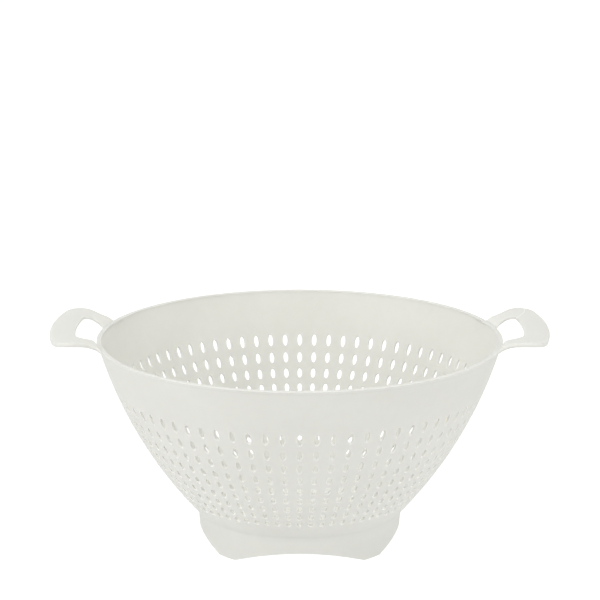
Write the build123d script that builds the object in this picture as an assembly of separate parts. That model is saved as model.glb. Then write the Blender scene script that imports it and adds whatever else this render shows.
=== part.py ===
from build123d import *
import os
from math import acos, asin, atan2, cos, hypot, pi, radians, sin, sqrt

# A kitchen colander moulded in polypropylene. A deep bowl leans out to a flat rim, and its wall
# has rings of slots that get shorter towards the floor. It stands on a foot ring with four
# arches, and a domed loop handle reaches out from the rim at each side.
# Lengths are in millimetres and angles in degrees. +Z is up, and the origin is on the table
# under the middle of the bowl. The handles lie along X, and an arch of the foot ring faces -Y.

# Bowl
rim_radius = 130.0       # outer edge of the rim
height = 134.5           # top of the rim above the table
wall = 2.0               # thickness of the wall and the floor
rim_lean = 15.2          # lean of the wall from the vertical where it meets the rim's level
seam_height = 16.9       # above the table, where the outside meets the foot ring's inner face
floor_bend = 20.0        # outer radius of the turn from there into the floor

# Rim
rim_width = 3.0          # flat top of the rim
rim_depth = 1.4          # height of the rim
rim_overhang = 0.4       # how far the rim stands out past the line of the wall
rim_edge = 0.4           # chamfer along both top edges of the rim

# Slots in the wall: square-ended, of the same area as the oval slots that they stand for
slot_columns = 72        # around the bowl, with a column in the middle of the front
slot_top_drop = 33.7     # from the top of the rim down to the first row
slot_row_pitch = 4.97    # from one row to the next, measured in towards the axis
slot_seam_gap = 12.5     # plain wall above the foot ring, measured out from it
slot_width = 3.3
slot_drop = 3.2          # extent of each slot towards the axis, so steep slots are long
wall_sectors = 8         # equal sectors that the wall is made from
equal_area_share = sqrt(pi) / 2   # side of a square over the diameter of a circle of its area

# Holes in the floor
floor_hole = 3.3         # across each hole
floor_hole_sides = 6
floor_ring_pitch = 10.5  # from one ring of holes to the next, around a middle hole
floor_margin = 5.0       # flat floor left outside the last ring
first_ring_holes = 6     # in the innermost ring, and as many more in each further ring

# Foot ring
foot_radius = 65.8       # outer edge at the table
foot_wall = 2.0
foot_draft = 1.5         # lean of its outer face, wider towards the bowl
foot_flare = 9.0         # radius of the hollow where it meets the bowl
arch_height = 9.7
foot_pad = 14.3          # length of each foot at the table, from one arch to the next

# Handles
handle_out = 29.5        # from the rim's edge out to the outer edge of the grip
handle_rise = 7.4        # crown of the handle above the top of the rim
handle_crown = 22.0      # from the rim's edge out to the crown
handle_step = 1.8        # rise of the arms just outside the rim, where the dome starts
handle_ramp = 2.2        # length of the slope from the rim's edge up to the dome
handle_plate = 2.0       # thickness of the handle
handle_hem = 2.7         # depth of the edge that is turned down around it
hem_wall = 2.0
grip_half = 46.5         # half the width of the grip
shoulder_reach = 18.5    # from the rim's edge out to the shoulder of an arm
shoulder_round = 14.0
corner_round = 9.0       # outer corners of the grip
neck_half = 36.0         # half the width over both arms at the neck
neck_reach = 1.5         # from the rim's edge out to the neck
neck_round = 8.0
root_half = 48.0         # half the width over both arms inside the rim
gap_reach = 13.1         # from the rim's edge to the far side of the finger gap
gap_half = 30.8          # half the width of the finger gap at its far side
gap_root_half = 19.6     # half its width inside the rim
gap_round = 4.0

overrun = 3.0            # how far a cutter runs past what it cuts

wall_top = height - rim_depth
seam_radius = foot_radius - foot_wall
column_pitch = 360 / slot_columns

# The bowl's outer profile is an arc from the rim's level down to the foot ring
top_lean = radians(rim_lean)
profile_run = rim_radius - rim_overhang - seam_radius
profile_rise = height - seam_height
seam_lean = 2 * atan2(profile_run, profile_rise) - top_lean
bowl_bend = hypot(profile_run, profile_rise) / (2 * sin((seam_lean - top_lean) / 2))
bend_x = rim_radius - rim_overhang - bowl_bend * cos(top_lean)
bend_z = height + bowl_bend * sin(top_lean)


def bowl_point(lean, inset=0):
    """Point of the bowl's profile where the wall leans by this angle, inset from the outside."""
    bend = bowl_bend - inset
    return bend_x + bend * cos(lean), bend_z - bend * sin(lean)


def lean_at_height(z, inset=0):
    return asin((bend_z - z) / (bowl_bend - inset))


def lean_at_radius(radius, inset=0):
    return acos((radius - bend_x) / (bowl_bend - inset))


turn_x = bowl_point(seam_lean, floor_bend)[0]
turn_z = bowl_point(seam_lean, floor_bend)[1]
floor_bottom = turn_z - floor_bend

# As many rows of slots, and rings of holes, as fit
slot_top_radius = bowl_point(lean_at_height(height - slot_top_drop))[0]
slot_rows = 1 + int((slot_top_radius - seam_radius - slot_seam_gap) / slot_row_pitch)
floor_rings = int((turn_x - floor_margin) / floor_ring_pitch)

# The wall is made in two bands that meet between two rows of slots
upper_rows = slot_rows // 2
band_lean = lean_at_radius(slot_top_radius - (upper_rows - 0.5) * slot_row_pitch)


def turn_point(lean, inset=0):
    """Point of the turn from the wall into the floor."""
    bend = floor_bend - inset
    return turn_x + bend * cos(lean), turn_z - bend * sin(lean)


def bowl_arc(start, end, inset=0):
    middle = (start + end) / 2
    return ThreePointArc(bowl_point(start, inset), bowl_point(middle, inset), bowl_point(end, inset))


def turn_arc(start, end, inset=0):
    middle = (start + end) / 2
    return ThreePointArc(turn_point(start, inset), turn_point(middle, inset), turn_point(end, inset))


def section(*edges):
    """Closed face in the plane of the X and Z axes, from its edges in order."""
    return Plane.XZ * make_face(edges)


def slot_cutter(row):
    """Cutter for one slot of a row, square to the wall, in the plane of the X axis."""
    radius = slot_top_radius - row * slot_row_pitch
    lean = lean_at_radius(radius)
    x, z = bowl_point(lean, wall / 2)
    up = Vector(sin(lean), 0, cos(lean))
    out = Vector(cos(lean), 0, -sin(lean))
    length = slot_drop / sin(lean) * equal_area_share
    width = slot_width * equal_area_share
    mouth = Plane(origin=(x, 0, z), x_dir=up, z_dir=out) * Rectangle(length, width)
    return extrude(mouth, amount=wall, both=True).solid()


def wall_band(outer_top, inner_top, bottom, rows):
    """Band of the perforated wall, as equal sectors so that one pattern of slots serves them."""
    profile = section(
        bowl_arc(outer_top, bottom),
        Line(bowl_point(bottom), bowl_point(bottom, wall)),
        bowl_arc(bottom, inner_top, wall),
        Line(bowl_point(inner_top, wall), bowl_point(outer_top)),
    )
    sector = revolve(profile, Axis.Z, 360 / wall_sectors).solid()
    cutters = []
    for row in rows:
        cutter = slot_cutter(row)
        for column in range(slot_columns // wall_sectors):
            cutters.append(cutter.rotate(Axis.Z, (column + 0.5) * column_pitch))
    sector = sector.cut(*cutters).solid()
    copies = [sector.rotate(Axis.Z, k * 360 / wall_sectors) for k in range(wall_sectors)]
    return copies[0].fuse(*copies[1:]).solid().rotate(Axis.Z, -column_pitch / 2)


def upper_wall():
    outer_top, inner_top = lean_at_height(wall_top), lean_at_height(wall_top, wall)
    return wall_band(outer_top, inner_top, band_lean, range(upper_rows))


def lower_wall():
    return wall_band(band_lean, band_lean, seam_lean, range(upper_rows, slot_rows))


def bowl_floor():
    """Turn of the bowl into its flat floor, with rings of holes around a middle one."""
    flat = pi / 2
    profile = section(
        turn_arc(seam_lean, flat),
        Line(turn_point(flat), (0, floor_bottom)),
        Line((0, floor_bottom), (0, floor_bottom + wall)),
        Line((0, floor_bottom + wall), turn_point(flat, wall)),
        turn_arc(flat, seam_lean, wall),
        Line(turn_point(seam_lean, wall), turn_point(seam_lean)),
    )
    floor = revolve(profile, Axis.Z, 360).solid()
    shape = Pos(0, 0, floor_bottom - overrun) * RegularPolygon(floor_hole / 2, floor_hole_sides)
    cutter = extrude(shape, amount=wall + 2 * overrun).solid()
    cutters = [cutter]
    for ring in range(1, floor_rings + 1):
        holes = first_ring_holes * ring
        for k in range(holes):
            cutters.append((Rot(0, 0, k * 360 / holes) * Pos(ring * floor_ring_pitch, 0, 0)) * cutter)
    return floor.cut(*cutters).solid()


def rim():
    """Flat rim that closes the top of the wall and stands out a little past it."""
    inner = rim_radius - rim_width
    profile = section(
        Line((inner, wall_top), (rim_radius, wall_top)),
        Line((rim_radius, wall_top), (rim_radius, height - rim_edge)),
        Line((rim_radius, height - rim_edge), (rim_radius - rim_edge, height)),
        Line((rim_radius - rim_edge, height), (inner + rim_edge, height)),
        Line((inner + rim_edge, height), (inner, height - rim_edge)),
        Line((inner, height - rim_edge), (inner, wall_top)),
    )
    return revolve(profile, Axis.Z, 360).solid()


def flare():
    """Ends and middle of the hollow that is tangent to the foot ring's face and to the bowl."""
    draft = radians(foot_draft)
    up, out = Vector(sin(draft), cos(draft)), Vector(cos(draft), -sin(draft))
    bend = Vector(bend_x, bend_z)
    base = Vector(foot_radius, 0) + out * foot_flare
    along = (bend - base).dot(up)
    far = bowl_bend + foot_flare
    centre = base + up * (along - sqrt(far ** 2 - (bend - base).length ** 2 + along ** 2))
    start = centre - out * foot_flare
    end = bend + (centre - bend) * (bowl_bend / far)
    middle = centre + (start + end - centre * 2).normalized() * foot_flare
    return [(point.X, point.Y) for point in (start, middle, end)]


def foot_ring():
    """Ring under the bowl, hollowed into the bowl's outside, with an arch in each quarter."""
    start, middle, end = flare()
    profile = section(
        Line((foot_radius, 0), start),
        ThreePointArc(start, middle, end),
        bowl_arc(lean_at_radius(end[0]), seam_lean),
        Line(bowl_point(seam_lean), (seam_radius, 0)),
        Line((seam_radius, 0), (foot_radius, 0)),
    )
    ring = revolve(profile, Axis.Z, 360).solid()
    arch_half = foot_radius * sin(pi / 4 - asin(foot_pad / 2 / foot_radius))
    radius = (arch_height ** 2 + arch_half ** 2) / (2 * arch_height)
    bar = Pos(0, 0, arch_height - radius) * (Rot(90, 0, 0) * Cylinder(radius, 4 * foot_radius))
    return ring.cut(bar.solid(), bar.solid().rotate(Axis.Z, 90)).solid()


def handle_outline():
    """Plan of the right handle without its finger gap, from inside the rim to the grip."""
    root = plan_point(rim_radius - rim_width / 2, root_half)
    neck = plan_point(rim_radius + neck_reach, neck_half)
    shoulder = plan_point(rim_radius + shoulder_reach, grip_half)
    corner = plan_point(rim_radius + handle_out, grip_half)
    with BuildSketch() as sketch:
        with BuildLine():
            Polyline(corner, shoulder, neck, root)
            Polyline(flip(root), flip(neck), flip(shoulder), flip(corner))
            Line(root, flip(root))
            ThreePointArc(flip(corner), (rim_radius + handle_out, 0), corner)
        make_face()
        fillet(near(sketch, neck), neck_round)
        fillet(near(sketch, shoulder), shoulder_round)
        fillet(near(sketch, corner), corner_round)
    return sketch.sketch


def finger_gap():
    """Plan of the finger gap, from inside the rim to its curved far side."""
    root = plan_point(rim_radius - rim_width / 2, gap_root_half)
    far = plan_point(rim_radius + gap_reach, gap_half)
    with BuildSketch() as sketch:
        with BuildLine():
            Polyline(far, root, flip(root), flip(far))
            ThreePointArc(flip(far), (rim_radius + gap_reach, 0), far)
        make_face()
        fillet(near(sketch, far), gap_round)
    return sketch.sketch


def plan_point(radius, half):
    """Point at this distance from the axis and half a width from the X axis."""
    return sqrt(radius ** 2 - half ** 2), half


def flip(point):
    return point[0], -point[1]


def near(sketch, point):
    """Both corners of a mirrored outline that stand at this point."""
    reach = hypot(*point)
    return [
        v for v in sketch.vertices()
        if abs(hypot(v.X, v.Y) - reach) < hem_wall / 2 and abs(abs(v.Y) - point[1]) < hem_wall / 2
    ]


def dome(depth):
    """Domed band around the rim, this deep, that the handles are cut from."""
    climb = handle_rise - handle_step
    bend = (handle_crown ** 2 + climb ** 2) / (2 * climb)
    crown = rim_radius + handle_crown
    top = height + handle_rise

    def surface(radius, below=0):
        return radius, top - bend + sqrt(bend ** 2 - (radius - crown) ** 2) - below

    start, end = rim_radius + handle_ramp, rim_radius + handle_out + overrun
    profile = section(
        Line((rim_radius, height - rim_edge), surface(start)),
        ThreePointArc(surface(start), surface(crown), surface(end)),
        Line(surface(end), surface(end, depth)),
        ThreePointArc(surface(end, depth), surface(crown, depth), surface(start, depth)),
        Line(surface(start, depth), (rim_radius, wall_top)),
        Line((rim_radius, wall_top), (rim_radius, height - rim_edge)),
    )
    return revolve(profile, Axis.Z, 360)


def handle():
    """Right handle: a domed plate round a finger gap, with its outer edge turned down."""
    tall = height + handle_rise + overrun
    outline, gap = handle_outline(), finger_gap()
    inner = offset(outline, -hem_wall)
    plate = dome(handle_plate) & extrude(outline - gap, amount=tall)
    hem = dome(handle_hem) & extrude(outline - inner, amount=tall)
    return (plate + hem).solid()


def write(name, shape):
    shape.label = name
    export_step(shape, f"parts/{name}.step")


if __name__ == "__main__":
    os.makedirs("parts", exist_ok=True)
    right = handle()
    write("upper_wall", upper_wall())
    write("lower_wall", lower_wall())
    write("bowl_floor", bowl_floor())
    write("rim", rim())
    write("foot_ring", foot_ring())
    write("right_handle", right)
    write("left_handle", right.mirror(Plane.YZ))
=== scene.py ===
from math import acos, asin, atan2, cos, hypot, pi, radians, sin, sqrt, tan

import bmesh
import bpy
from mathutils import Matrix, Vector


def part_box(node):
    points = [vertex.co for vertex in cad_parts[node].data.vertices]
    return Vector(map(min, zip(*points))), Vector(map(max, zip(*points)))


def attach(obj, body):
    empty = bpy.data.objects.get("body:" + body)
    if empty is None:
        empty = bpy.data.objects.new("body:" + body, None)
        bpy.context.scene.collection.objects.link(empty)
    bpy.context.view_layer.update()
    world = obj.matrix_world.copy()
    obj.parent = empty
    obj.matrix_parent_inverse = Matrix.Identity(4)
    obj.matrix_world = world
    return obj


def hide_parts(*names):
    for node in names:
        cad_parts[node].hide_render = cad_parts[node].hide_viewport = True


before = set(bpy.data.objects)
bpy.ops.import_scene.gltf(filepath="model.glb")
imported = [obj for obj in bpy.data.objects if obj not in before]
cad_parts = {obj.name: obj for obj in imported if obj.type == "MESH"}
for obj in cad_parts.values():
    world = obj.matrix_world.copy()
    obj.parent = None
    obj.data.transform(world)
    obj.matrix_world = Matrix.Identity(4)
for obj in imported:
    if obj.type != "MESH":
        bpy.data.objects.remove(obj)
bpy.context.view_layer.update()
RIM_LOW, RIM_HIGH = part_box("rim")
GRIP_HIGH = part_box("right_handle")[1]

bl_info = {
    "name": "Plastic colander",
    "version": (1, 0, 0),
    "blender": (4, 5, 0),
    "location": "3D View > Sidebar > Colander",
    "description": "Models a slotted plastic colander around its CAD frame",
    "category": "Add Mesh",
}

MM = 0.001
NEAR = MM / 9            # how close a point is to be found at a height or a way
FRONT = -pi / 2          # angle of the front of the bowl around the axis
LIGHTS = (               # name, place, side in metres, watts
    ("key_light", (-0.3, -0.9, 1.7), 1.6, 11),
    ("top_light", (0, 0.2, 1.9), 1.6, 18.5),
    ("left_light", (-1.6, -0.9, 0.8), 1.2, 8.5),
    ("right_light", (1.6, -0.9, 0.8), 1.2, 7),
)


def length(name, description, default, **limits):
    """A length property, in metres."""
    return bpy.props.FloatProperty(
        name=name, description=description, default=default, unit="LENGTH", precision=4, **limits
    )


class BowlSettings(bpy.types.PropertyGroup):
    """Sizes of the bowl, its slots and its drilled floor."""

    rim_radius: length("Rim radius", "Outer edge of the rim", RIM_HIGH.y)
    height: length("Height", "Top of the rim above the table", RIM_HIGH.z)
    rim_depth: length("Rim depth", "Height of the rim", RIM_HIGH.z - RIM_LOW.z)
    rim_width: length("Rim width", "Flat top of the rim", 3.0 * MM)
    rim_overhang: length("Rim overhang", "How far the rim stands past the wall's line", 0.4 * MM)
    rim_round: length("Rim rounding", "Rounding of the rim's top edges", 0.4 * MM)
    rim_foot_round: length("Rim foot", "Rounding of the rim's lower edge", 0.7 * MM)
    rim_lean: bpy.props.FloatProperty(
        name="Rim lean",
        description="Lean of the wall from the vertical at the rim",
        default=radians(15.2),
        subtype="ANGLE",
    )
    wall: length("Wall", "Thickness of the wall and the floor", 1.8 * MM)
    brim: length("Thick brim", "How far down the wall thickens towards the rim", 17.0 * MM)
    seam_height: length("Seam height", "Where the wall meets the foot ring", 16.9 * MM)
    floor_bend: length("Floor bend", "Outer radius of the turn into the floor", 20.0 * MM)
    slot_columns: bpy.props.IntProperty(
        name="Columns", description="Slots around the bowl", default=72, min=12
    )
    slot_rows: bpy.props.IntProperty(name="Rows", description="Rings of slots", default=9, min=1)
    slot_top_drop: length("First row", "From the rim's top down to the first row", 33.7 * MM)
    slot_row_pitch: length("Row pitch", "Between rows, measured in to the axis", 4.97 * MM)
    slot_width: length("Slot width", "Across each slot", 3.25 * MM)
    slot_drop: length("Slot drop", "Extent of a slot towards the axis", 3.1 * MM)
    slot_sides: bpy.props.IntProperty(
        name="Slot sides", description="Sides of each oval slot", default=16, min=8
    )
    mouth: length("Slot mouth", "Rounding of the slots' edges, outside", 0.45 * MM)
    softness: length("Softened edge", "Rounding of the slots' and holes' other edges", 0.3 * MM)
    floor_hole: length("Floor hole", "Across each hole of the floor", 3.3 * MM)
    floor_ring_pitch: length("Ring pitch", "Between rings of floor holes", 10.5 * MM)
    floor_margin: length("Floor margin", "Flat floor outside the last ring", 5.0 * MM)


class FootSettings(bpy.types.PropertyGroup):
    """Sizes of the foot ring and its arches."""

    radius: length("Foot radius", "Outer edge at the table", 65.8 * MM)
    wall: length("Foot wall", "Thickness of the ring", 2.0 * MM)
    draft: bpy.props.FloatProperty(
        name="Draft", description="Lean of the outer face", default=radians(1.5), subtype="ANGLE"
    )
    flare: length("Flare", "Radius of the hollow under the bowl", 9.0 * MM)
    arch_height: length("Arch height", "Crown of each arch above the table", 9.7 * MM)
    pad: length("Foot pad", "Length of each foot at the table", 14.3 * MM)
    softness: length("Softened edge", "Rounding of the lower edges", 0.4 * MM)


class HandleSettings(bpy.types.PropertyGroup):
    """Sizes of the loop handles."""

    reach: length("Reach", "Outer edge of the grip from the axis", GRIP_HIGH.x)
    rise: length("Rise", "Crown above the top of the rim", GRIP_HIGH.z - RIM_HIGH.z)
    crown: length("Crown", "From the rim's edge out to the crown", 22.0 * MM)
    step: length("Step", "Rise of the arms just outside the rim", 1.8 * MM)
    ramp: length("Ramp", "From the rim's edge out to the dome", 2.6 * MM)
    seam_drop: length("Seam drop", "From the rim's top down to the arms at its edge", 0.15 * MM)
    plate: length("Plate", "Thickness of the plate", 2.0 * MM)
    hem: length("Hem", "Depth of the turned-down edge", 3.0 * MM)
    hem_round: length("Hem rounding", "Rounding of the turned-down edge's foot", 1.0 * MM)
    hem_wall: length("Hem wall", "Thickness of the turned-down edge", 2.0 * MM)
    parting: length("Parting line", "From the top down to the mould's parting line", 1.25 * MM)
    lip: length("Lip", "Step of the edge at the parting line", 0.2 * MM)
    lean: length("Edge lean", "How far the edge leans in above the parting line", 0.35 * MM)
    softness: length("Softened edge", "Rounding of the top edge", 0.6 * MM)
    edge: length("Gap edge", "Rounding of the finger gap's edge", 0.5 * MM)
    grip_half: length("Grip half width", "Half the width of the grip", GRIP_HIGH.y)
    shoulder_reach: length("Shoulder", "From the rim's edge out to the shoulder", 18.5 * MM)
    shoulder_round: length("Shoulder rounding", "Radius at the shoulder", 14.0 * MM)
    corner_round: length("Corner rounding", "Radius at the grip's corners", 9.0 * MM)
    neck_half: length("Neck half width", "Half the width over both arms", 36.0 * MM)
    neck_reach: length("Neck", "From the rim's edge out to the neck", 1.5 * MM)
    neck_round: length("Neck rounding", "Radius at the neck", 8.0 * MM)
    root_half: length("Root half width", "Half the width inside the rim", 48.0 * MM)
    root_depth: length("Root depth", "From the rim's edge in to the arms' ends", 1.5 * MM)
    gap_reach: length("Gap reach", "From the rim's edge across the finger gap", 13.1 * MM)
    gap_half: length("Gap half width", "Half the width at the gap's far side", 30.8 * MM)
    gap_root_half: length("Gap root half width", "Half the gap's width at the rim", 19.6 * MM)
    gap_round: length("Gap rounding", "Radius of the gap's far corners", 4.0 * MM)


class PlasticSettings(bpy.types.PropertyGroup):
    """Colour and finish of the plastic."""

    colour: bpy.props.FloatVectorProperty(
        name="Colour", description="Colour of the plastic", default=(0.78, 0.78, 0.74),
        size=3, subtype="COLOR", min=0, max=1,
    )
    knit_x: length("Knit line x", "Middle of the arc that the knit line follows", 116.6 * MM)
    knit_y: length("Knit line y", "Middle of the arc that the knit line follows", 42.2 * MM)
    knit_radius: length("Knit line radius", "Radius of the knit line's arc", 31.8 * MM)
    knit_width: length("Knit line width", "Width of the knit line in the right grip", 0.5 * MM)
    # The knit line's lighter tone is a painted highlight along a real knit line
    knit_highlight_tone: bpy.props.FloatProperty(
        name="Knit line tone", description="How much lighter the knit line is", default=1.2
    )
    # Painted light: the slots' mouths and sides glow with an emission that stands in for light
    # through the plastic
    painted_mouth_glow: bpy.props.FloatProperty(
        name="Mouth glow",
        description="Light through the plastic at the slots' mouths",
        default=0.13,
    )
    side_share: bpy.props.FloatProperty(
        name="Side share", description="Share of that light at the slots' sides", default=0.3
    )
    roughness: bpy.props.FloatProperty(
        name="Roughness", description="Roughness of the satin surface", default=0.5, min=0, max=1
    )


class StudioSettings(bpy.types.PropertyGroup):
    """Camera, lights and floor."""

    distance: length("Distance", "From the camera to the axis", 1.3383)
    elevation: bpy.props.FloatProperty(
        name="Elevation", description="Camera's angle above level", default=radians(17.22),
        subtype="ANGLE",
    )
    target_drop: length("Target drop", "From the rim's top down to the camera's target", 0.06449)
    focal_pixels: bpy.props.FloatProperty(
        name="Focal length", description="In pixels of the 600-pixel frame", default=2053.8
    )
    centre_x: bpy.props.FloatProperty(
        name="Centre x", description="Pixel column of the target", default=299.7
    )
    centre_y: bpy.props.FloatProperty(
        name="Centre y", description="Pixel row of the target", default=431.75
    )


def settings():
    return bpy.context.scene.colander


# --- hand tools -----------------------------------------------------------------------------


def deselect_all():
    if bpy.context.object and bpy.context.object.mode != "OBJECT":
        bpy.ops.object.mode_set(mode="OBJECT")
    bpy.ops.object.select_all(action="DESELECT")


def select_where(obj, test, kind="VERT"):
    """Selects the vertices, edges or faces of the edited mesh that pass a test of their middle."""
    bpy.ops.mesh.select_mode(type=kind)
    bpy.ops.mesh.select_all(action="DESELECT")
    mesh = bmesh.from_edit_mesh(obj.data)
    for part in {"VERT": mesh.verts, "EDGE": mesh.edges, "FACE": mesh.faces}[kind]:
        if kind == "VERT":
            at = part.co
        elif kind == "EDGE":
            at = (part.verts[0].co + part.verts[1].co) / 2
        else:
            at = part.calc_center_median()
        if test(at):
            part.select = True
    mesh.select_flush_mode()
    bmesh.update_edit_mesh(obj.data)


def select_loose():
    """Selects the edges that have no face."""
    bpy.ops.mesh.select_mode(type="EDGE")
    bpy.ops.mesh.select_all(action="DESELECT")
    mesh = bmesh.from_edit_mesh(bpy.context.object.data)
    for edge in mesh.edges:
        edge.select = edge.is_wire
    mesh.select_flush_mode()
    bmesh.update_edit_mesh(bpy.context.object.data)


def start_mesh(name):
    """An object with an empty mesh, in edit mode."""
    deselect_all()
    bpy.ops.mesh.primitive_plane_add(size=MM)
    obj = bpy.context.object
    obj.name = obj.data.name = name
    bpy.ops.object.mode_set(mode="EDIT")
    bpy.ops.mesh.select_all(action="SELECT")
    bpy.ops.mesh.delete(type="VERT")
    return obj


def trace(points):
    """Draws a line of edges through points in the plane of X and Z, by extruding a vertex."""
    bpy.ops.mesh.primitive_plane_add(size=MM, location=(points[0][0], 0, points[0][1]))
    bpy.ops.mesh.merge(type="CENTER")
    for a, b in zip(points, points[1:]):
        step = (b[0] - a[0], 0, b[1] - a[1])
        bpy.ops.mesh.extrude_region_move(TRANSFORM_OT_translate={"value": step})


def spin_all(steps):
    """Turns the traced line once round the axis and closes it."""
    bpy.ops.mesh.select_all(action="SELECT")
    bpy.ops.mesh.spin(steps=steps, angle=2 * pi, center=(0, 0, 0), axis=(0, 0, 1))
    tidy()


def tidy():
    bpy.ops.mesh.select_all(action="SELECT")
    bpy.ops.mesh.remove_doubles(threshold=0.01 * MM)
    bpy.ops.mesh.normals_make_consistent(inside=False)


def apply(obj, kind, **values):
    """Adds a modifier and applies it."""
    if obj.mode != "OBJECT":
        bpy.ops.object.mode_set(mode="OBJECT")
    bpy.context.view_layer.objects.active = obj
    modifier = obj.modifiers.new(kind.title(), kind)
    for name, value in values.items():
        setattr(modifier, name, value)
    bpy.ops.object.modifier_apply(modifier=modifier.name)


def finish_piece(obj, material, *nodes):
    """Puts the piece on the body, in place of its CAD nodes."""
    if obj.mode != "OBJECT":
        bpy.ops.object.mode_set(mode="OBJECT")
    obj.data.materials.clear()
    obj.data.materials.append(material)
    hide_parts(*nodes)
    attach(obj, "root")
    obj.select_set(False)


# --- the bowl's profile ---------------------------------------------------------------------


class Profile:
    """The outside of the bowl in the plane of the axis: an arc, a turn and the flat floor."""

    def __init__(self, bowl, foot):
        self.bowl = bowl
        self.seam_radius = foot.radius - foot.wall
        self.wall_top = bowl.height - bowl.rim_depth
        run = bowl.rim_radius - bowl.rim_overhang - self.seam_radius
        rise = bowl.height - bowl.seam_height
        self.seam_lean = 2 * atan2(run, rise) - bowl.rim_lean
        self.bend = hypot(run, rise) / (2 * sin((self.seam_lean - bowl.rim_lean) / 2))
        self.x = bowl.rim_radius - bowl.rim_overhang - self.bend * cos(bowl.rim_lean)
        self.z = bowl.height + self.bend * sin(bowl.rim_lean)
        self.turn_x, self.turn_z = self.point(self.seam_lean, bowl.floor_bend)
        self.floor_bottom = self.turn_z - bowl.floor_bend
        self.top_lean = self.lean_at_height(self.wall_top)
        self.wall_way = self.bend * (self.seam_lean - self.top_lean)
        self.turn_way = bowl.floor_bend * (pi / 2 - self.seam_lean)
        first_lean = self.lean_at_height(bowl.height - bowl.slot_top_drop)
        self.first_radius = self.point(first_lean)[0]

    def point(self, lean, inset=0):
        bend = self.bend - inset
        return self.x + bend * cos(lean), self.z - bend * sin(lean)

    def lean_at_height(self, z):
        return asin((self.z - z) / self.bend)

    def lean_at_radius(self, radius):
        return acos((radius - self.x) / self.bend)

    def way_at_radius(self, radius):
        """Length of the wall's outside from its top down to this radius."""
        return self.bend * (self.lean_at_radius(radius) - self.top_lean)

    def depth(self, radius, z):
        """Depth of a point in the wall below its outside."""
        return self.bend - hypot(radius - self.x, z - self.z)

    def at(self, way):
        """Radius and height on the outside, this far down from the wall's top."""
        if way <= self.wall_way:
            return self.point(self.top_lean + way / self.bend)
        lean = self.seam_lean + (way - self.wall_way) / self.bowl.floor_bend
        bend = self.bowl.floor_bend
        return self.turn_x + bend * cos(lean), self.turn_z - bend * sin(lean)


# --- pieces ---------------------------------------------------------------------------------


def add_cell(top, bottom, middle, width, tall, sides):
    """One slot and the flat wall around it: an oval bridged to a square outline."""
    side = sides // 4
    centre = (0, (top + bottom) / 2, 0)
    bpy.ops.mesh.primitive_plane_add(size=1, location=centre)
    bpy.ops.transform.resize(value=(1, bottom - top, 1), center_override=centre)
    bpy.ops.mesh.delete(type="ONLY_FACE")
    select_loose()
    bpy.ops.mesh.subdivide(number_cuts=side - 1)
    bpy.ops.mesh.primitive_circle_add(vertices=sides, radius=0.5, location=(0, middle, 0))
    bpy.ops.transform.resize(value=(width, tall, 1), center_override=(0, middle, 0))
    select_loose()
    bpy.ops.mesh.bridge_edge_loops()


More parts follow.
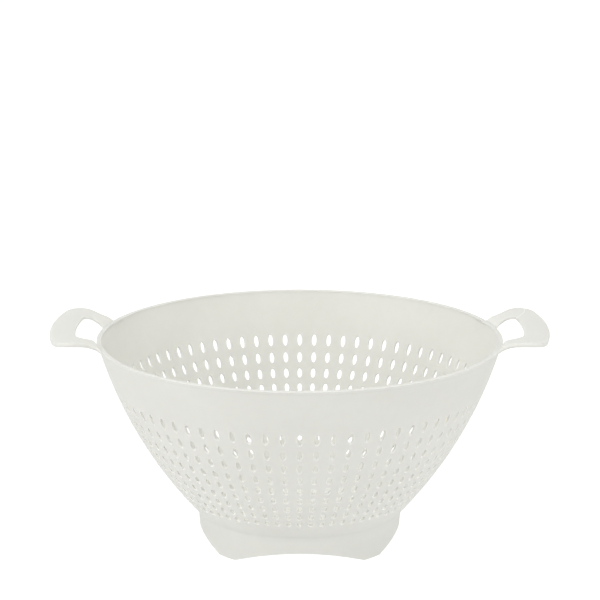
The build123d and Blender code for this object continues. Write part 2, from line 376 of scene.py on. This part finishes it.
def add_bowl():
    bowl, foot = settings().bowl, settings().foot
    shape = Profile(bowl, foot)
    pitch = 2 * pi / bowl.slot_columns
    obj = start_mesh("bowl")

    # One column of the wall, flat: x in shares of the column's angle, y down the wall
    radii = [shape.first_radius - row * bowl.slot_row_pitch for row in range(bowl.slot_rows)]
    ways = [shape.way_at_radius(radius) for radius in radii]
    edges = [(a + b) / 2 for a, b in zip(ways, ways[1:])]
    edges = [2 * ways[0] - edges[0]] + edges + [2 * ways[-1] - edges[-1]]
    for row, (radius, way) in enumerate(zip(radii, ways)):
        lean = shape.lean_at_radius(radius)
        tall = bowl.slot_drop / sin(lean)
        width = bowl.slot_width / (radius * pitch)
        add_cell(edges[row], edges[row + 1], way, width, tall, bowl.slot_sides)

    # The plain wall above and below, and the turn into the floor
    select_where(obj, lambda at: abs(at.y - edges[0]) < NEAR, "EDGE")
    bands = 6
    for _ in range(bands):
        move = (0, -edges[0] / bands, 0)
        bpy.ops.mesh.extrude_region_move(TRANSFORM_OT_translate={"value": move})
    select_where(obj, lambda at: abs(at.y - edges[-1]) < NEAR, "EDGE")
    for distance, bands in ((shape.wall_way - edges[-1], 4), (shape.turn_way, 9)):
        for _ in range(bands):
            move = (0, distance / bands, 0)
            bpy.ops.mesh.extrude_region_move(TRANSFORM_OT_translate={"value": move})
    bpy.ops.mesh.select_mode(type="VERT")
    bpy.ops.mesh.select_all(action="SELECT")
    bpy.ops.mesh.remove_doubles(threshold=0.01 * MM)

    # The flat column laid on the bowl, then copied all round it
    mesh = bmesh.from_edit_mesh(obj.data)
    for vert in mesh.verts:
        radius, z = shape.at(vert.co.y)
        angle = FRONT + vert.co.x * pitch
        vert.co = Vector((radius * cos(angle), radius * sin(angle), z))
    bmesh.update_edit_mesh(obj.data)
    bpy.ops.mesh.select_all(action="SELECT")
    bpy.ops.mesh.spin(
        steps=bowl.slot_columns - 1, angle=2 * pi - pitch, center=(0, 0, 0), axis=(0, 0, 1),
        dupli=True,
    )
    tidy()
    apply(obj, "SOLIDIFY", thickness=bowl.wall, offset=-1, use_even_offset=True, use_rim=True)
    thicken_brim(obj, shape)

    # The ring of faces that closes the shell at the floor gives way to the floor
    bpy.ops.object.mode_set(mode="EDIT")
    middle = shape.floor_bottom + bowl.wall / 2
    select_where(
        obj,
        lambda at: hypot(at.x, at.y) < shape.turn_x + NEAR and abs(at.z - middle) < NEAR,
        "FACE",
    )
    bpy.ops.mesh.delete(type="FACE")
    bpy.ops.object.mode_set(mode="OBJECT")
    floor = add_floor(shape)
    deselect_all()
    floor.select_set(True)
    obj.select_set(True)
    bpy.context.view_layer.objects.active = obj
    bpy.ops.object.join()
    bpy.ops.object.mode_set(mode="EDIT")
    select_where(obj, lambda at: abs(hypot(at.x, at.y) - shape.turn_x) < bowl.wall / 8)
    bpy.ops.mesh.remove_doubles(threshold=bowl.wall / 8)
    tidy()
    soften_slots(obj, shape)
    bpy.ops.object.mode_set(mode="OBJECT")
    bpy.ops.object.shade_smooth()
    apply(
        obj, "BEVEL", width=bowl.mouth, segments=2, limit_method="WEIGHT",
        harden_normals=True, use_clamp_overlap=False,
    )
    # Marks where the painted glow at the slots goes
    mark_painted_slot_glow(obj, shape)
    finish_piece(obj, plastic("bowl_plastic", True), "upper_wall", "lower_wall", "bowl_floor")


def thicken_brim(obj, shape):
    """Brings the wall's inside flush with the rim's at the top."""
    bowl = settings().bowl
    start = shape.wall_top - bowl.brim
    rim_inside = bowl.rim_radius - bowl.rim_width
    for vert in obj.data.vertices:
        radius = hypot(vert.co.x, vert.co.y)
        if vert.co.z > start and shape.depth(radius, vert.co.z) > bowl.wall * 0.75:
            flush = rim_inside - (shape.wall_top - vert.co.z) * tan(shape.top_lean)
            near = ((vert.co.z - start) / bowl.brim) ** 2
            vert.co.x *= 1 + near * (flush / radius - 1)
            vert.co.y *= 1 + near * (flush / radius - 1)


def soften_slots(obj, shape):
    """Marks the slots' and holes' edges for rounding, the slots' outer ones the most."""
    bowl = settings().bowl
    mesh = bmesh.from_edit_mesh(obj.data)
    weight = mesh.edges.layers.float.new("bevel_weight_edge")
    for edge in mesh.edges:
        if len(edge.link_faces) == 2 and edge.calc_face_angle() > radians(60):
            at = (edge.verts[0].co + edge.verts[1].co) / 2
            outside = shape.depth(hypot(at.x, at.y), at.z) < bowl.wall / 4
            slot = at.z > bowl.seam_height
            edge[weight] = 1 if outside and slot else bowl.softness / bowl.mouth
    bmesh.update_edit_mesh(obj.data)


def mark_painted_slot_glow(obj, shape):
    """Attribute for painted light: a glow at the slots' edges and sides that stands in for light
    shining through the plastic.
    """
    bowl, finish = settings().bowl, settings().plastic
    mesh = bmesh.new()
    mesh.from_mesh(obj.data)
    glow = mesh.verts.layers.float.new("painted_slot_glow")
    for vert in mesh.verts:
        down = shape.depth(hypot(vert.co.x, vert.co.y), vert.co.z)
        if vert.co.z > bowl.seam_height and bowl.mouth / 9 < down < bowl.wall - bowl.softness / 9:
            vert[glow] = 1 if down < bowl.mouth * 0.7 else finish.side_share
    mesh.to_mesh(obj.data)
    mesh.free()


def add_floor(shape):
    """Flat floor, open around its edge, with rings of holes cut by a boolean."""
    bowl = settings().bowl
    around = bowl.slot_columns * bowl.slot_sides // 4
    middle = shape.floor_bottom + bowl.wall / 2
    deselect_all()
    bpy.ops.mesh.primitive_cylinder_add(
        vertices=around, radius=shape.turn_x, depth=bowl.wall, location=(0, 0, middle)
    )
    floor = bpy.context.object
    bpy.ops.object.transform_apply(location=True, rotation=True, scale=True)
    deselect_all()
    hole = dict(vertices=16, radius=bowl.floor_hole / 2, depth=3 * bowl.wall)
    bpy.ops.mesh.primitive_cylinder_add(location=(0, 0, middle), **hole)
    drills = bpy.context.object
    bpy.ops.object.transform_apply(location=True, rotation=True, scale=True)
    bpy.ops.object.mode_set(mode="EDIT")
    rings = int((shape.turn_x - bowl.floor_margin) / bowl.floor_ring_pitch)
    for ring in range(1, rings + 1):
        holes = 6 * ring
        bpy.ops.mesh.primitive_cylinder_add(
            location=(ring * bowl.floor_ring_pitch, 0, middle), **hole
        )
        bpy.ops.mesh.spin(
            steps=holes - 1, angle=2 * pi * (1 - 1 / holes), center=(0, 0, 0),
            axis=(0, 0, 1), dupli=True,
        )
    bpy.ops.object.mode_set(mode="OBJECT")
    apply(floor, "BOOLEAN", object=drills, operation="DIFFERENCE", solver="EXACT")
    bpy.data.objects.remove(drills)
    bpy.context.view_layer.objects.active = floor
    bpy.ops.object.mode_set(mode="EDIT")
    select_where(
        floor,
        lambda at: hypot(at.x, at.y) > shape.turn_x - MM / 4 and abs(at.z - middle) < NEAR,
        "FACE",
    )
    bpy.ops.mesh.delete(type="FACE")
    bpy.ops.object.mode_set(mode="OBJECT")
    return floor


def arc(centre, start, end, steps):
    """Points on the short arc from one direction and distance off a centre to another."""
    first = atan2(start.y, start.x)
    turn = (atan2(end.y, end.x) - first + pi) % (2 * pi) - pi
    angles = [first + turn * k / steps for k in range(steps + 1)]
    return [(centre.x + start.length * cos(a), centre.y + start.length * sin(a)) for a in angles]


def rounded(corners, closed=True, steps=4):
    """Outline through corners, each (x, y, radius), with arcs where the radius isn't zero."""
    points = []
    for i, (x, y, radius) in enumerate(corners):
        here = Vector((x, y))
        if not radius or not closed and i in (0, len(corners) - 1):
            points.append((x, y))
            continue
        before = (Vector(corners[i - 1][:2]) - here).normalized()
        after = (Vector(corners[(i + 1) % len(corners)][:2]) - here).normalized()
        half = before.angle(after) / 2
        centre = here + (before + after).normalized() * (radius / sin(half))
        start = here + before * (radius / tan(half)) - centre
        end = here + after * (radius / tan(half)) - centre
        points += arc(centre, start, end, steps)
    return points


def add_rim():
    bowl = settings().bowl
    outer, inner = bowl.rim_radius, bowl.rim_radius - bowl.rim_width
    low, high, soft = bowl.height - bowl.rim_depth, bowl.height, bowl.rim_round
    outline = rounded(
        [
            (outer, low, bowl.rim_foot_round), (outer, high, soft),
            (inner, high, soft), (inner, low, 0),
        ]
    )
    obj = start_mesh("rim_band")
    trace(outline + outline[:1])
    spin_all(bowl.slot_columns * bowl.slot_sides // 4)
    bpy.ops.object.mode_set(mode="OBJECT")
    bpy.ops.object.shade_smooth_by_angle(angle=radians(50))
    finish_piece(obj, plastic("rim_plastic"), "rim")


def add_foot():
    bowl, foot = settings().bowl, settings().foot
    shape = Profile(bowl, foot)
    # In the plane of the axis: the foot's straight face, the arc of the hollow, the wall above
    up = Vector((sin(foot.draft), cos(foot.draft)))
    out = Vector((cos(foot.draft), -sin(foot.draft)))
    bend = Vector((shape.x, shape.z))
    base = Vector((foot.radius, 0)) + out * foot.flare
    along = (bend - base).dot(up)
    far = shape.bend + foot.flare
    centre = base + up * (along - sqrt(far ** 2 - (bend - base).length ** 2 + along ** 2))
    start = -out * foot.flare
    end = bend + (centre - bend) * (shape.bend / far) - centre
    rise, steps = (centre + start).y, 10
    bands = 8
    toe = Vector((foot.radius, 0))
    outline = [tuple(toe.lerp(centre + start, k / bands)) for k in range(bands)]
    outline += arc(centre, start, end, steps)
    inside = shape.point(shape.seam_lean, -0.02 * MM)
    top = shape.point(shape.lean_at_radius((centre + end).x), bowl.wall / 4)
    outline += [top, shape.point(shape.seam_lean, bowl.wall / 4)]
    outline += [(shape.seam_radius, inside[1] * (1 - k / bands)) for k in range(bands + 1)]
    obj = start_mesh("foot")
    trace(outline + outline[:1])
    spin_all(bowl.slot_columns * bowl.slot_sides // 4)

    # Each arch lifts the lower edge, and the faces above it close up evenly
    arch_half = foot.radius * sin(pi / 4 - asin(foot.pad / 2 / foot.radius))
    radius = (foot.arch_height ** 2 + arch_half ** 2) / (2 * foot.arch_height)

    def arch(across):
        if abs(across) >= arch_half:
            return 0
        return foot.arch_height - radius + sqrt(radius ** 2 - across ** 2)

    mesh = bmesh.from_edit_mesh(obj.data)
    for vert in mesh.verts:
        if vert.co.z < rise:
            low = max(arch(vert.co.x), arch(vert.co.y))
            vert.co.z = low + vert.co.z * (rise - low) / rise
    bmesh.update_edit_mesh(obj.data)
    tidy()
    bpy.ops.object.mode_set(mode="OBJECT")
    bpy.ops.object.shade_smooth()
    apply(
        obj, "BEVEL", width=foot.softness, segments=2, limit_method="ANGLE",
        angle_limit=radians(50), harden_normals=True,
    )
    finish_piece(obj, plastic("foot_plastic"), "foot_ring")


def resample(points, shares):
    """Points at shares of the length of a line."""
    points = [Vector(point) for point in points]
    lengths = [0]
    for a, b in zip(points, points[1:]):
        lengths.append(lengths[-1] + (b - a).length)
    out = []
    for share in shares:
        way, k = share * lengths[-1], 1
        while k < len(points) - 1 and lengths[k] < way:
            k += 1
        part = (way - lengths[k - 1]) / (lengths[k] - lengths[k - 1])
        out.append(points[k - 1].lerp(points[k], part))
    return out


def plan(radius, half):
    """Point at this distance from the axis and half a width from the X axis."""
    return sqrt(radius ** 2 - half ** 2), half


def inward(line, side):
    """Unit normals of a line of plan points, to one side."""
    normals = []
    for k in range(len(line)):
        along = line[min(k + 1, len(line) - 1)] - line[max(k - 1, 0)]
        normals.append(Vector((along.y, -along.x)).normalized() * side)
    return normals


def half_lines():
    """Outer edge and gap edge of half a handle, from the arm's end to the middle of the grip."""
    handle, rim = settings().handle, settings().bowl.rim_radius
    grip, far, bands = handle.reach, rim + handle.gap_reach, 5
    corner, gap_corner = asin(handle.grip_half / grip), asin(handle.gap_half / far)
    outer = [
        (*plan(rim - handle.root_depth, handle.root_half), 0),
        (*plan(rim + handle.neck_reach, handle.neck_half), handle.neck_round),
        (*plan(rim + handle.shoulder_reach, handle.grip_half), handle.shoulder_round),
        (*plan(grip, handle.grip_half), handle.corner_round),
    ]
    gap = [
        (*plan(rim - handle.root_depth, handle.gap_root_half), 0),
        (*plan(far, handle.gap_half), handle.gap_round),
    ]
    for k in range(bands - 1, -1, -1):
        angle = corner * k / bands
        outer.append((grip * cos(angle), grip * sin(angle), 0))
        angle = gap_corner * k / bands
        gap.append((far * cos(angle), far * sin(angle), 0))
    # Both lines get the same number of points, half of them on the arm's share of the line
    arm, bar, steps = 0.47, 0.38, 6
    outer, gap = rounded(outer, False, steps), rounded(gap, False, steps)
    stations = 20
    first = [k / stations for k in range(stations)]
    last = [k / stations for k in range(stations + 1)]
    outer = resample(outer, [arm * s for s in first] + [arm + (1 - arm) * s for s in last])
    gap = resample(gap, [bar * s for s in first] + [bar + (1 - bar) * s for s in last])
    return outer, gap


def hem_section():
    """The edge's section: each point's distance in from the edge and depth below the dome."""
    handle = settings().handle
    foot, steps = handle.hem_round, 4
    turns = [pi / 2 * k / steps for k in range(steps + 1)]
    points = [(handle.hem_wall, handle.hem - foot), (handle.hem_wall - foot, handle.hem)]
    points += [(foot * (1 - sin(t)), handle.hem - foot * (1 - cos(t))) for t in turns]
    points += [(0, (handle.hem - foot + handle.parting) / 2), (0, handle.parting)]
    points += [(handle.lip, handle.parting - handle.lip)]
    soft, lean = handle.softness, handle.lean
    return points + [(lean + soft * (1 - cos(t)), soft * (1 - sin(t))) for t in turns]


def dome_height(radius, depth):
    """Height in a handle, this deep below its top, at this distance from the axis."""
    handle, bowl = settings().handle, settings().bowl
    climb = handle.rise - handle.step
    bend = (handle.crown ** 2 + climb ** 2) / (2 * climb)
    out = radius - bowl.rim_radius
    rise = handle.rise - bend + sqrt(bend ** 2 - (out - handle.crown) ** 2)
    short = max(0, 1 - max(0, out) / handle.ramp) ** 2
    thin = 1 - short * (1 - bowl.rim_depth / handle.hem)
    return bowl.height + rise - short * (rise + handle.seam_drop) - depth * thin


def add_handle(name, node, side):
    """A strip wrapped round the plate's section, led along both edges and laid on the dome."""
    handle = settings().handle
    outer, gap = half_lines()
    outer += [Vector((p.x, -p.y)) for p in reversed(outer[:-1])]
    gap += [Vector((p.x, -p.y)) for p in reversed(gap[:-1])]
    outer_in, gap_in = inward(outer, 1), inward(gap, -1)

    # The section: (share of the way across, distance in from the outer edge, or from the gap's
    # edge, depth below the dome)
    edge, steps = handle.edge, 4
    turns = [pi / 2 * k / steps for k in range(steps + 1)]
    section = [(0, handle.hem_wall, handle.plate + edge)]
    section += [(0, off, depth) for off, depth in hem_section()]
    top_off = section[-1][1]
    section += [(k / 7, 0, 0) for k in range(1, 7)]
    section += [(1, edge * (1 - sin(t)), edge * (1 - cos(t))) for t in turns]
    section += [(1, 0, handle.plate - edge / 2), (1, edge / 2, handle.plate)]
    section += [(1 - k / 5, 0, handle.plate) for k in range(1, 5)]
    section += [(0, handle.hem_wall + edge, handle.plate)]

    deselect_all()
    bpy.ops.mesh.primitive_grid_add(
        size=1, x_subdivisions=len(outer) - 1, y_subdivisions=len(section)
    )
    obj = bpy.context.object
    obj.name = obj.data.name = name
    bpy.ops.object.mode_set(mode="EDIT")
    mesh = bmesh.from_edit_mesh(obj.data)
    for vert in mesh.verts:
        i = round((vert.co.x + 0.5) * (len(outer) - 1))
        across, off, depth = section[round((vert.co.y + 0.5) * len(section)) % len(section)]
        a = outer[i] + outer_in[i] * (top_off if depth == 0 else handle.hem_wall)
        b = gap[i] + gap_in[i] * edge
        if across == 0:
            at = outer[i] + outer_in[i] * off
        elif across == 1:
            at = gap[i] + gap_in[i] * off
        else:
            at = a.lerp(b, across)
        vert.co = Vector((side * at.x, at.y, dome_height(at.length, depth)))
    bmesh.update_edit_mesh(obj.data)
    bpy.ops.mesh.select_mode(type="VERT")
    bpy.ops.mesh.select_all(action="SELECT")
    bpy.ops.mesh.remove_doubles(threshold=0.001 * MM)
    bpy.ops.mesh.select_all(action="DESELECT")
    bpy.ops.mesh.select_non_manifold()
    bpy.ops.mesh.edge_face_add()
    tidy()
    bpy.ops.object.mode_set(mode="OBJECT")
    bpy.ops.object.shade_smooth_by_angle(angle=radians(35))
    # The right grip gets the painted highlight along its knit line
    finish_piece(obj, plastic(name + "_plastic", knit=side > 0), node)


def add_handles():
    add_handle("right_grip", "right_handle", 1)
    add_handle("left_grip", "left_handle", -1)


# --- plastic --------------------------------------------------------------------------------


def paint_slot_glow(tree, shader):
    """Painted light: an emission at the slots' rounded edges and sides, standing in for light that
    has come through the plastic.
    """
    finish = settings().plastic
    edge = tree.nodes.new("ShaderNodeAttribute")
    edge.attribute_name = "painted_slot_glow"
    strength = tree.nodes.new("ShaderNodeMapRange")
    strength.inputs["To Max"].default_value = finish.painted_mouth_glow
    shader.inputs["Emission Color"].default_value = (0.75, 0.75, 0.74, 1)
    tree.links.new(edge.outputs["Fac"], strength.inputs["Value"])
    tree.links.new(strength.outputs["Result"], shader.inputs["Emission Strength"])


def paint_knit_highlight(tree, where, colour):
    """Painted highlight: a pale line across the grip where two flows of plastic met in the mould.
    Its lighter colour stands for the highlight on the line's notch.
    """
    finish = settings().plastic
    nodes, link = tree.nodes, tree.links.new
    flat = nodes.new("ShaderNodeVectorMath")
    flat.operation = "MULTIPLY"
    flat.inputs[1].default_value = (1, 1, 0)
    link(where, flat.inputs[0])
    off = nodes.new("ShaderNodeVectorMath")
    off.operation = "DISTANCE"
    off.inputs[1].default_value = (finish.knit_x, finish.knit_y, 0)
    link(flat.outputs["Vector"], off.inputs[0])
    line = nodes.new("ShaderNodeMath")
    line.operation = "COMPARE"
    line.inputs[1].default_value = finish.knit_radius
    line.inputs[2].default_value = finish.knit_width / 2
    link(off.outputs["Value"], line.inputs[0])
    mix = nodes.new("ShaderNodeMix")
    mix.data_type = "RGBA"
    mix.inputs["B"].default_value = (*(c * finish.knit_highlight_tone for c in finish.colour), 1)
    link(line.outputs["Value"], mix.inputs["Factor"])
    link(colour, mix.inputs["A"])
    return mix.outputs["Result"]


def plastic(name, slots=False, knit=False):
    """Satin moulded plastic: faint mottling in its colour and gloss and a fine moulded grain.
    Where asked, it also gets a painted glow at the slots and a painted highlight on the knit line.
    """
    finish = settings().plastic
    material = bpy.data.materials.new(name)
    material.use_nodes = True
    tree = material.node_tree
    nodes, link = tree.nodes, tree.links.new
    shader = nodes["Principled BSDF"]
    where = nodes.new("ShaderNodeTexCoord")

    def noise(scale, detail, roughness=0.5):
        node = nodes.new("ShaderNodeTexNoise")
        node.inputs["Scale"].default_value = scale
        node.inputs["Detail"].default_value = detail
        node.inputs["Roughness"].default_value = roughness
        link(where.outputs["Object"], node.inputs["Vector"])
        return node.outputs["Fac"]

    # Clouds of 4 cm and mottling of 6 mm for the colour, and a grain of half a millimetre
    cloud, mottle, grain = noise(22, 3), noise(160, 4, 0.6), noise(1900, 2)
    ramp = nodes.new("ShaderNodeValToRGB")
    red, green, blue = finish.colour
    ramp.color_ramp.elements[0].position = 0.3
    ramp.color_ramp.elements[0].color = (red * 0.975, green * 0.972, blue * 0.962, 1)
    ramp.color_ramp.elements[1].position = 0.7
    ramp.color_ramp.elements[1].color = (red * 1.02, green * 1.02, blue * 1.02, 1)
    blend = nodes.new("ShaderNodeMix")
    blend.data_type = "FLOAT"
    blend.inputs["Factor"].default_value = 0.4
    link(cloud, blend.inputs["A"])
    link(mottle, blend.inputs["B"])
    link(blend.outputs["Result"], ramp.inputs["Fac"])
    colour = ramp.outputs["Color"]
    # Painted highlight along the knit line
    if knit:
        colour = paint_knit_highlight(tree, where.outputs["Object"], colour)
    link(colour, shader.inputs["Base Color"])
    # Painted glow at the slots' mouths and sides
    if slots:
        paint_slot_glow(tree, shader)

    gloss = nodes.new("ShaderNodeMapRange")
    gloss.inputs["To Min"].default_value = finish.roughness - 0.05
    gloss.inputs["To Max"].default_value = finish.roughness + 0.06
    link(mottle, gloss.inputs["Value"])
    link(gloss.outputs["Result"], shader.inputs["Roughness"])

    bump = nodes.new("ShaderNodeBump")
    bump.inputs["Strength"].default_value = 0.12
    bump.inputs["Distance"].default_value = 0.05 * MM
    link(grain, bump.inputs["Height"])
    link(bump.outputs["Normal"], shader.inputs["Normal"])
    shader.inputs["IOR"].default_value = 1.49
    shader.inputs["Specular IOR Level"].default_value = 0.3
    shader.inputs["Subsurface Weight"].default_value = 0.3
    shader.inputs["Subsurface Radius"].default_value = (1.0, 0.97, 0.88)
    shader.inputs["Subsurface Scale"].default_value = 1.5 * MM
    return material


# --- studio ---------------------------------------------------------------------------------


def add_camera():
    studio, bowl = settings().studio, settings().bowl
    frame_side = 600
    target = Vector((0, 0, bowl.height - studio.target_drop))
    back = Vector((0, -cos(studio.elevation), sin(studio.elevation)))
    deselect_all()
    bpy.ops.object.camera_add(
        location=target + back * studio.distance, rotation=(pi / 2 - studio.elevation, 0, 0)
    )
    camera = bpy.context.object
    camera.data.sensor_width = 36
    camera.data.lens = studio.focal_pixels / frame_side * camera.data.sensor_width
    camera.data.shift_x = (frame_side / 2 - studio.centre_x) / frame_side
    camera.data.shift_y = (studio.centre_y - frame_side / 2) / frame_side
    camera.data.clip_start, camera.data.clip_end = 0.05, 50
    bpy.context.scene.camera = camera


def add_floor_plane():
    """White paper that looks lit through to the camera, as behind a cut-out product photograph."""
    floor_side, light_share = 80, 0.69
    deselect_all()
    bpy.ops.mesh.primitive_plane_add(size=floor_side, location=(0, 0, 0))
    floor = bpy.context.object
    floor.name = floor.data.name = "studio_floor"
    material = bpy.data.materials.new("studio_paper")
    material.use_nodes = True
    shader = material.node_tree.nodes["Principled BSDF"]
    shader.inputs["Base Color"].default_value = (0.2, 0.2, 0.2, 1)
    shader.inputs["Roughness"].default_value = 0.9
    shader.inputs["Specular IOR Level"].default_value = 0
    shader.inputs["Emission Color"].default_value = (1, 1, 1, 1)
    seen = material.node_tree.nodes.new("ShaderNodeLightPath")
    glow = material.node_tree.nodes.new("ShaderNodeMapRange")
    glow.inputs["To Min"].default_value = light_share
    material.node_tree.links.new(seen.outputs["Is Camera Ray"], glow.inputs["Value"])
    material.node_tree.links.new(glow.outputs["Result"], shader.inputs["Emission Strength"])
    floor.data.materials.append(material)


def add_light(name, location, size, power):
    """Square soft light that faces the colander."""
    deselect_all()
    aim_height = 0.07
    aim = Vector((0, 0, aim_height)) - Vector(location)
    bpy.ops.object.light_add(
        type="AREA", location=location, rotation=aim.to_track_quat("-Z", "Y").to_euler()
    )
    light = bpy.context.object
    light.name = light.data.name = name
    light.data.size = size
    light.data.energy = power


def add_white_room():
    """Air that is white at the horizon and dimmer overhead, where the lights hang."""
    world = bpy.data.worlds.new("studio_air")
    world.use_nodes = True
    tree = world.node_tree
    where = tree.nodes.new("ShaderNodeTexCoord")
    split = tree.nodes.new("ShaderNodeSeparateXYZ")
    fade = tree.nodes.new("ShaderNodeMapRange")
    fade.interpolation_type = "SMOOTHSTEP"
    for name, value in (("From Min", 0.15), ("From Max", 0.65), ("To Min", 1.0), ("To Max", 0.05)):
        fade.inputs[name].default_value = value
    tree.links.new(where.outputs["Generated"], split.inputs["Vector"])
    tree.links.new(split.outputs["Z"], fade.inputs["Value"])
    tree.nodes["Background"].inputs["Color"].default_value = (1, 1, 1, 1)
    tree.links.new(fade.outputs["Result"], tree.nodes["Background"].inputs["Strength"])
    bpy.context.scene.world = world
    bpy.context.scene.view_settings.view_transform = "Standard"


def add_studio():
    add_white_room()
    add_floor_plane()
    for light in LIGHTS:
        add_light(*light)
    add_camera()


# --- operators and panel --------------------------------------------------------------------


class COLANDER_OT_bowl(bpy.types.Operator):
    """Model the slotted bowl with its drilled floor"""

    bl_idname = "colander.bowl"
    bl_label = "Bowl"

    def execute(self, context):
        add_bowl()
        return {"FINISHED"}


class COLANDER_OT_rim(bpy.types.Operator):
    """Model the flat rim"""

    bl_idname = "colander.rim"
    bl_label = "Rim"

    def execute(self, context):
        add_rim()
        return {"FINISHED"}


class COLANDER_OT_foot(bpy.types.Operator):
    """Model the foot ring with its four arches"""

    bl_idname = "colander.foot"
    bl_label = "Foot ring"

    def execute(self, context):
        add_foot()
        return {"FINISHED"}


class COLANDER_OT_handles(bpy.types.Operator):
    """Model both loop handles"""

    bl_idname = "colander.handles"
    bl_label = "Handles"

    def execute(self, context):
        add_handles()
        return {"FINISHED"}


class COLANDER_OT_studio(bpy.types.Operator):
    """Set up the floor, the soft lights and the camera"""

    bl_idname = "colander.studio"
    bl_label = "Studio"

    def execute(self, context):
        add_studio()
        return {"FINISHED"}


class ColanderSettings(bpy.types.PropertyGroup):
    """All the colander's settings."""

    bowl: bpy.props.PointerProperty(type=BowlSettings, name="Bowl", description="The bowl")
    foot: bpy.props.PointerProperty(type=FootSettings, name="Foot", description="The foot ring")
    handle: bpy.props.PointerProperty(
        type=HandleSettings, name="Handles", description="The handles"
    )
    plastic: bpy.props.PointerProperty(
        type=PlasticSettings, name="Plastic", description="The plastic"
    )
    studio: bpy.props.PointerProperty(
        type=StudioSettings, name="Studio", description="Camera and lights"
    )


class VIEW3D_PT_colander(bpy.types.Panel):
    """The colander's pieces and sizes"""

    bl_label = "Colander"
    bl_space_type = "VIEW_3D"
    bl_region_type = "UI"
    bl_category = "Colander"

    def draw(self, context):
        layout = self.layout
        for step in STEPS:
            layout.operator(step.bl_idname)
        for name in ("bowl", "foot", "handle", "plastic", "studio"):
            group = getattr(context.scene.colander, name)
            box = layout.box()
            for prop in group.bl_rna.properties:
                if prop.identifier not in ("rna_type", "name"):
                    box.prop(group, prop.identifier)


STEPS = (
    COLANDER_OT_studio, COLANDER_OT_bowl, COLANDER_OT_rim, COLANDER_OT_foot, COLANDER_OT_handles,
)
CLASSES = (
    BowlSettings, FootSettings, HandleSettings, PlasticSettings, StudioSettings,
    ColanderSettings, *STEPS, VIEW3D_PT_colander,
)


def register():
    for cls in CLASSES:
        bpy.utils.register_class(cls)
    bpy.types.Scene.colander = bpy.props.PointerProperty(type=ColanderSettings)


def unregister():
    del bpy.types.Scene.colander
    for cls in reversed(CLASSES):
        bpy.utils.unregister_class(cls)


def main():
    register()
    bpy.ops.colander.studio()
    bpy.ops.colander.bowl()
    bpy.ops.colander.rim()
    bpy.ops.colander.foot()
    bpy.ops.colander.handles()


if __name__ == "__main__":
    main()
